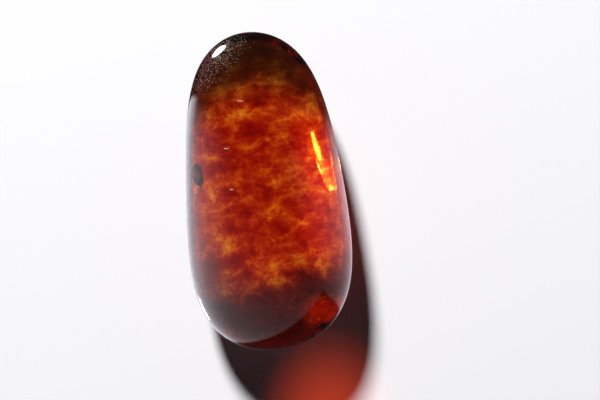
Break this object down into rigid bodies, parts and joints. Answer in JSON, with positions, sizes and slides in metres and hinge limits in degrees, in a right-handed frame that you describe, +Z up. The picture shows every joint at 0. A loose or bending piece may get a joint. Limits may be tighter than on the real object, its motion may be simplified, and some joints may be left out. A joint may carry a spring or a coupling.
{
  "type": "polished amber",
  "caption": "Elongated egg-shaped pebble of polished red-orange amber, see-through and cloudily mottled, lying on a small worn flat on its back.",
  "frame": {"origin": "on the rest face, under the middle of the stone's length and width", "axes": "+Z up from the surface that the stone lies on to its crown; +Y along the stone to its narrow end; +X to the right when the crown is looked down on with the narrow end away from the viewer"},
  "size_m": [0.0283, 0.055, 0.0218],
  "materials": {
    "amber": "polished fossil resin, clear red-orange with a cloudy grain"
  },
  "bodies": {
    "root": {"amber": "amber"}
  },
  "joints": []
}
